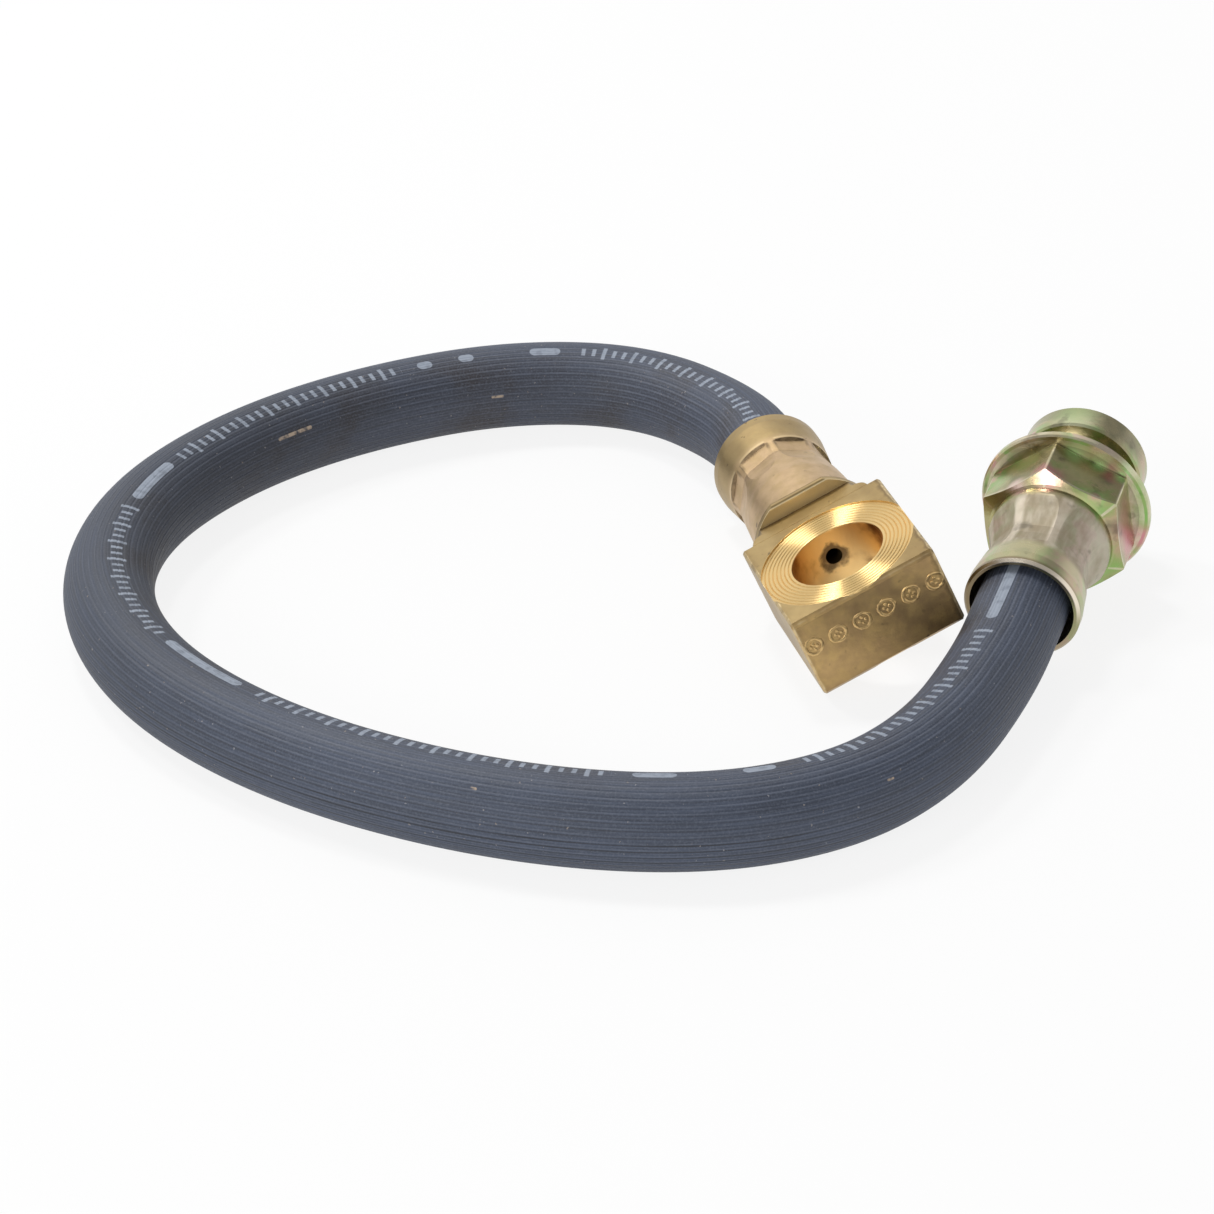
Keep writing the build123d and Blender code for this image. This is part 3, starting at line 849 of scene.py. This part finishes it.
# ---- yellow zinc on the chassis fitting
zinc = {
    # colours of the film as it thickens
    "film": [
        (0.00, rgb(0.25, 0.25, 0.13)),
        (0.24, rgb(0.42, 0.365, 0.20)),
        (0.40, rgb(0.33, 0.37, 0.15)),
        (0.55, rgb(0.28, 0.44, 0.15)),
        (0.64, rgb(0.46, 0.42, 0.24)),
        (0.74, rgb(0.56, 0.31, 0.30)),
        (0.86, rgb(0.48, 0.37, 0.26)),
        (1.00, rgb(0.30, 0.28, 0.16)),
    ],
    # tints that lie at known places: tint, place and reach in mm, and strength; the dark one on the nose is
    # painted shade and the blush on the nose's back is a painted highlight
    "patches": [
        ("pink", (-6.3, 4.9, 17.1), 4.8, 0.85),
        ("pink", (-8.3, 1.5, 17.9), 4.4, 0.85),
        ("pink", (-2.8, 8.0, 19.4), 2.0, 0.95),
        ("pink", (-9.5, 1.2, 20.4), 2.8, 0.95),
        ("pink", (8.1, 6.0, 20.4), 2.8, 0.40),
        ("pink", (-6.4, 3.9, 28.0), 2.6, 0.40),
        ("pink", (3.9, 7.6, 14.4), 2.6, 0.92),
        ("blush", (6.3, 4.2, 14.0), 1.8, 0.80),
        ("dark", (-3.8, 6.5, 28.4), 3.4, 0.95),
        ("sage", (0.8, 8.0, 17.4), 3.4, 0.55),
        ("blush", (3.2, 5.6, 26.5), 3.4, 0.95),
        ("blush", (-0.6, 10.1, 20.8), 2.6, 0.80),
        ("sage", (6.5, 4.6, 18.9), 3.4, 0.75),
        ("pale", (8.1, 1.8, 16.5), 2.0, 0.60),
        ("pink", (4.6, 6.8, 15.2), 1.8, 0.55),
        ("sage", (8.0, -0.4, 14.1), 2.8, 0.75),
        ("sage", (-1.6, 7.4, 13.9), 2.6, 0.50),
        ("mint", (-1.2, 8.4, 20.0), 1.7, 0.90),
        ("mint", (-3.9, 8.2, 20.1), 2.0, 0.90),
        ("mint", (2.0, 8.2, 20.0), 2.0, 0.60),
        ("green", (-8.6, 4.4, 20.3), 3.0, 0.95),
        ("green", (-6.5, 7.0, 20.4), 2.8, 0.80),
        ("green", (8.1, 1.8, 16.3), 2.2, 0.45),
        ("green", (3.9, 6.5, 27.8), 4.2, 0.60),
        ("green", (-8.0, 0.5, 14.1), 2.4, 0.50),
        ("green", (9.3, -1.5, 20.3), 3.0, 0.50),
    ],
    "green": rgb(0.20, 0.46, 0.10),
    "mint": rgb(0.55, 0.94, 0.48),
    "sage": rgb(0.58, 0.58, 0.28),
    "pink": rgb(0.60, 0.22, 0.27),
    "blush": rgb(0.92, 0.68, 0.64),
    "dark": rgb(0.13, 0.12, 0.070),
    "tan": rgb(0.49, 0.46, 0.28),
    "rim": rgb(0.24, 0.185, 0.11),
    "lipHighlight": rgb(0.90, 0.80, 0.66),
    "bevelRadius": 7.6,
    "bevelSlope": 1.523,  # radius gained per mm along
    "bevelFrom": 13.78,
    "pale": rgb(0.66, 0.60, 0.44),
    "dirtAndShade": rgb(0.075, 0.062, 0.040),
    "crimpTurn": 18.0,  # degrees from the local X to the middle of a pressed flat
    "browned": rgb(0.25, 0.18, 0.10),
    "crimped": rgb(0.235, 0.195, 0.125),
    "silver": rgb(0.62, 0.545, 0.45),
    "hexTurn": 30.0,  # degrees from the local X to the middle of a flat
    "hexHalf": 7.95,
    "hexFrom": 13.6,
    "hexTo": 20.1,
    "flangeAt": 20.4,
    "flangeRadius": 10.1,
    "noseFrom": 26.5,
}


def dressZinc(material, s, matrix):
    tree, shader, place = startMaterial(material)
    local, (x, y, z) = localPlace(tree, place, matrix)
    r = radius(tree, x, y)

    # how near a point of the hexagon is to its edges, in mm
    turn = calc(tree, "SUBTRACT", calc(tree, "ARCTAN2", y, x), math.radians(s["hexTurn"]))
    fromMiddle = calc(tree, "PINGPONG", turn, math.radians(30))
    alongFlat = calc(tree, "MULTIPLY", calc(tree, "TANGENT", fromMiddle), s["hexHalf"])
    toCorner = calc(tree, "SUBTRACT", s["hexHalf"] * math.tan(math.radians(30)), alongFlat)
    toBack = calc(tree, "SUBTRACT", s["hexTo"], z)
    toEdge = calc(tree, "MINIMUM", toCorner, calc(tree, "ABSOLUTE", toBack))
    onHex = calc(tree, "MULTIPLY", calc(tree, "GREATER_THAN", z, s["hexFrom"] + 0.02), calc(tree, "LESS_THAN", z, s["hexTo"] + 0.05))
    onHex = calc(tree, "MULTIPLY", onHex, calc(tree, "GREATER_THAN", r, 7.35))
    toRim = calc(tree, "SUBTRACT", s["flangeRadius"], r)
    toRim = calc(tree, "ADD", toRim, calc(tree, "MULTIPLY", calc(tree, "GREATER_THAN", calc(tree, "ABSOLUTE", calc(tree, "SUBTRACT", z, s["flangeAt"] + 0.3)), 0.9), 9.0))
    toEdge = addNode(tree, "ShaderNodeMix", {0: onHex, 2: toRim, 3: toEdge}).outputs[0]

    wide = addNode(tree, "ShaderNodeTexNoise", {"Vector": place, "Scale": 115.0, "Detail": 1.5, "Distortion": 0.5}).outputs[0]
    small = addNode(tree, "ShaderNodeTexNoise", {"Vector": place, "Scale": 620.0, "Detail": 3.0}).outputs[0]
    film = mapRange(tree, wide, 0.30, 0.70, 0.0, 0.95)
    film = calc(tree, "ADD", film, mapRange(tree, small, 0.3, 0.7, -0.13, 0.13))
    film = calc(tree, "ADD", film, remap(tree, toEdge, 1.1, 0.1, 0.0, 0.06))
    ramp = addNode(tree, "ShaderNodeValToRGB", {0: film})
    ramp.color_ramp.interpolation = "EASE"
    stops = ramp.color_ramp.elements
    while len(stops) < len(s["film"]):
        stops.new(0.5)
    for stop, (position, shade) in zip(stops, s["film"]):
        stop.position = position
        stop.color = shade
    color = ramp.outputs[0]
    # film tints at known places, among them painted shade on the nose and a painted highlight on its back
    for tint, centre, reach, strength in s["patches"]:
        away = addNode(tree, "ShaderNodeVectorMath", {0: local, 1: centre}, operation="DISTANCE").outputs["Value"]
        away = calc(tree, "MULTIPLY_ADD", small, 1.6, calc(tree, "SUBTRACT", away, 0.8))
        color = mixColor(tree, remap(tree, away, reach, 0.0, 0.0, strength), color, s[tint])

    # plainer on the bell
    onBell = remap(tree, z, 6.0, 4.0, 0.0, 0.62)
    color = mixColor(tree, onBell, color, s["tan"])
    # pale in soft patches, a painted reflection on the nose, and painted highlights along the edges that are
    # partly wear
    patches = useGroup(tree, stain, Vector=place, Scale=190.0, Detail=3.0, Low=0.35, High=0.78)["Mask"]
    color = mixColor(tree, calc(tree, "MULTIPLY", patches, 0.10), color, s["pale"])
    # painted reflection on the nose
    noseReflection = remap(tree, z, s["noseFrom"] - 0.2, s["noseFrom"] + 0.1, 0.0, 0.22)
    color = mixColor(tree, noseReflection, color, s["pale"])
    toBevel = calc(tree, "MULTIPLY_ADD", z, s["bevelSlope"], s["bevelRadius"] - s["bevelFrom"] * s["bevelSlope"])
    toBevel = calc(tree, "MULTIPLY", calc(tree, "SUBTRACT", toBevel, r), 0.55)
    bevelHighlight = remap(tree, calc(tree, "ABSOLUTE", calc(tree, "SUBTRACT", toBevel, 0.16)), 0.17, 0.06)
    # painted highlights along the hexagon's edges, the flange rim and the bevel's inner line, partly wear
    wearAndSheen = calc(tree, "MAXIMUM", remap(tree, toEdge, 0.30, 0.14), calc(tree, "MULTIPLY", bevelHighlight, onHex))
    wearAndSheen = calc(tree, "MULTIPLY", wearAndSheen, mapRange(tree, small, 0.3, 0.7, 0.25, 0.95))
    color = mixColor(tree, wearAndSheen, color, s["pale"])
    # painted shade in the corner where the hexagon meets the flange
    grime = remap(tree, calc(tree, "ABSOLUTE", calc(tree, "SUBTRACT", z, s["flangeAt"] - 0.2)), 0.3, 0.05)
    grime = calc(tree, "MULTIPLY", grime, calc(tree, "LESS_THAN", r, 8.9))
    color = mixColor(tree, calc(tree, "MULTIPLY", grime, 0.45), color, s["dirtAndShade"])
    # rolled lip: painted shade inside it, darker to one side, and a painted highlight on top where it turns
    lipShade = remap(tree, z, 0.9, 0.45, 0.0, 1.0)
    lipShade = calc(tree, "MULTIPLY", lipShade, remap(tree, x, -3.0, 5.0, 0.45, 0.95))
    color = mixColor(tree, lipShade, color, s["rim"])
    lipHighlight = calc(tree, "MULTIPLY", remap(tree, z, 0.36, 0.30), remap(tree, r, 6.38, 6.46))
    lipHighlight = calc(tree, "MULTIPLY", lipHighlight, remap(tree, y, 1.0, 4.5))
    color = mixColor(tree, calc(tree, "MULTIPLY", lipHighlight, 0.9), color, s["lipHighlight"])

    # scraped dull where the dies pressed, in streaks along the fitting, with a painted highlight on the ridges
    # between the flats and along one side
    onCrimp = calc(tree, "MULTIPLY", remap(tree, z, 3.6, 5.0), remap(tree, z, 13.3, 12.2))
    fromFlat = calc(tree, "SUBTRACT", calc(tree, "ARCTAN2", y, x), math.radians(s["crimpTurn"]))
    fromFlat = calc(tree, "PINGPONG", fromFlat, math.radians(22.5))
    drawn = vectorCalc(tree, "MULTIPLY", local, (1.0, 1.0, 0.10))
    scrapedAndLit = useGroup(tree, stain, Vector=drawn, Scale=1.6, Detail=3.0, Low=0.25, High=0.85)["Mask"]
    between = remap(tree, fromFlat, math.radians(14.5), math.radians(19.5), 0.12, 0.8)
    between = calc(tree, "ADD", between, remap(tree, x, 0.5, -5.5, 0.0, 0.8))
    scrapedAndLit = calc(tree, "MULTIPLY_ADD", scrapedAndLit, 0.45, between, clamp=True)
    crimpColor = mixColor(tree, scrapedAndLit, s["crimped"], s["silver"])
    browned = useGroup(tree, stain, Vector=place, Scale=480.0, Detail=4.0, Low=0.32, High=0.80)["Mask"]
    crimpColor = mixColor(tree, calc(tree, "MULTIPLY", browned, 0.55), crimpColor, s["browned"])
    color = mixColor(tree, calc(tree, "MULTIPLY", onCrimp, 0.86), color, crimpColor)
    dark = useGroup(tree, stain, Vector=place, Scale=420.0, Detail=3.0, Low=0.60, High=0.74)["Mask"]
    color = mixColor(tree, calc(tree, "MULTIPLY", dark, 0.45), color, s["dirtAndShade"])
    tree.links.new(color, shader["Base Color"])
    tree.links.new(calc(tree, "MULTIPLY_ADD", onCrimp, -0.7, 1.0), shader["Metallic"])
    rough = calc(tree, "MULTIPLY_ADD", onCrimp, 0.26, mapRange(tree, wide, 0.3, 0.7, 0.24, 0.34))
    tree.links.new(rough, shader["Roughness"])
    fine = addNode(tree, "ShaderNodeTexNoise", {"Vector": place, "Scale": 1500.0, "Detail": 4.0}).outputs[0]
    finishBump(tree, shader, fine, 0.00004, 0.35)


zincMaterial = bpy.data.materials.new("yellowZinc")
dressZinc(zincMaterial, zinc, chassisFrame)


# ---- layers inside the hose, and the stems
inner = {
    "linerRubber": {"low": rgb(0.012, 0.012, 0.013), "high": rgb(0.03, 0.03, 0.032), "scale": 900.0, "rough": 0.55, "metal": 0.0},
    "cushionRubber": {"low": rgb(0.02, 0.02, 0.022), "high": rgb(0.045, 0.045, 0.048), "scale": 700.0, "rough": 0.7, "metal": 0.0},
    "braidCord": {"low": rgb(0.42, 0.38, 0.28), "high": rgb(0.72, 0.68, 0.56), "scale": 1400.0, "rough": 0.85, "metal": 0.0},
    "stemSteel": {"low": rgb(0.35, 0.35, 0.35), "high": rgb(0.6, 0.6, 0.58), "scale": 500.0, "rough": 0.35, "metal": 1.0},
}
innerNodes = {
    "hose_liner": "linerRubber",
    "inner_braid": "braidCord",
    "cushion_layer": "cushionRubber",
    "outer_braid": "braidCord",
    "banjo_stem": "stemSteel",
    "chassis_stem": "stemSteel",
}


def dressPlain(material, s):
    tree, shader, place = startMaterial(material)
    mask = useGroup(tree, stain, Vector=place, Scale=s["scale"], Detail=4.0, Low=0.35, High=0.65)["Mask"]
    tree.links.new(mixColor(tree, mask, s["low"], s["high"]), shader["Base Color"])
    tree.links.new(calc(tree, "MULTIPLY_ADD", mask, 0.15, s["rough"]), shader["Roughness"])
    shader["Metallic"].default_value = s["metal"]
    finishBump(tree, shader, mask, 0.00004, 0.4)


def wear(node, material):
    data = cadNodes[node].data
    data.materials.clear()
    data.materials.append(material)


for name, values in inner.items():
    dressPlain(bpy.data.materials.new(name), values)
for node, name in innerNodes.items():
    wear(node, bpy.data.materials[name])
wear("banjo_block", brassMaterial)
wear("chassis_fitting", zincMaterial)
print("fittings dressed")


# ---- floor, world and lamps
floorSettings = {"size": 6.0, "color": rgb(0.86, 0.86, 0.86), "white": 0.86}


def makeFloor(s):
    half = s["size"] / 2
    mesh = bpy.data.meshes.new("floor")
    mesh.from_pydata([(-half, -half, 0), (half, -half, 0), (half, half, 0), (-half, half, 0)], [], [(0, 1, 2, 3)])
    floor = bpy.data.objects.new("floor", mesh)
    scene.collection.objects.link(floor)
    material = bpy.data.materials.new("floorPaper")
    tree, shader, place = startMaterial(material)
    shader["Base Color"].default_value = s["color"]
    shader["Roughness"].default_value = 0.9
    rays = tree.nodes.new("ShaderNodeLightPath").outputs
    seen = calc(tree, "MAXIMUM", rays["Is Camera Ray"], calc(tree, "MAXIMUM", rays["Is Glossy Ray"], rays["Is Transmission Ray"]))
    glow = addNode(tree, "ShaderNodeEmission", {"Color": rgb(1, 1, 1), "Strength": 1.0})
    blend = addNode(tree, "ShaderNodeMixShader", {0: calc(tree, "MULTIPLY", seen, s["white"])})
    output = next(n for n in tree.nodes if n.type == "OUTPUT_MATERIAL")
    principled = next(n for n in tree.nodes if n.type == "BSDF_PRINCIPLED")
    tree.links.new(principled.outputs[0], blend.inputs[1])
    tree.links.new(glow.outputs[0], blend.inputs[2])
    tree.links.new(blend.outputs[0], output.inputs["Surface"])
    mesh.materials.append(material)


studio = {
    "overhead": 0.30,  # strength above
    "horizon": 1.0,
    "horizonUpTo": 0.18,  # as heights of a direction one unit long
    "overheadFrom": 0.5,
    "window": 1.0,  # a wide soft window behind
    "windowTowards": (-0.15, 0.85, 0.50),
    "windowInside": 0.93,  # cosines of the angle from its middle
    "windowOutside": 0.66,
}


def makeWorld(s):
    world = bpy.data.worlds.new("studio")
    scene.world = world
    world.use_nodes = True
    tree = world.node_tree
    tree.nodes.clear()
    direction = addNode(tree, "ShaderNodeTexCoord").outputs["Generated"]
    height = addNode(tree, "ShaderNodeSeparateXYZ", {0: direction}).outputs[2]
    level = remap(tree, height, s["horizonUpTo"], s["overheadFrom"], s["horizon"], s["overhead"])
    facing = addNode(
        tree, "ShaderNodeVectorMath", {0: direction, 1: s["windowTowards"]}, operation="DOT_PRODUCT"
    ).outputs["Value"]
    window = remap(tree, facing, s["windowOutside"], s["windowInside"], 0.0, s["window"])
    level = calc(tree, "MAXIMUM", level, window)
    glow = addNode(tree, "ShaderNodeBackground", {"Color": rgb(1, 1, 1), "Strength": level})
    output = tree.nodes.new("ShaderNodeOutputWorld")
    tree.links.new(glow.outputs[0], output.inputs["Surface"])


lamps = {
    "behind": {"place": (-0.244, 0.312, 0.824), "target": (-0.01, -0.01, 0), "size": (0.15, 0.15), "watts": 2.5},
    "left": {"place": (-0.56, 0.25, 0.68), "target": (-0.01, -0.01, 0), "size": (0.15, 0.15), "watts": 2.3},
    "frontLeft": {"place": (-0.52, -0.69, 0.39), "target": (-0.02, -0.01, 0), "size": (0.34, 0.24), "watts": 2.2},
}


def makeLamp(name, s):
    data = bpy.data.lights.new(name, "AREA")
    data.shape = "RECTANGLE"
    data.size, data.size_y = s["size"]
    data.energy = s["watts"]
    lamp = bpy.data.objects.new(name, data)
    scene.collection.objects.link(lamp)
    lamp.location = s["place"]
    aim = Vector(s["target"]) - Vector(s["place"])
    lamp.rotation_euler = aim.to_track_quat("-Z", "Y").to_euler()


makeFloor(floorSettings)
makeWorld(studio)
for name, values in lamps.items():
    makeLamp(name, values)
scene.view_settings.view_transform = "Standard"
print("stage set")
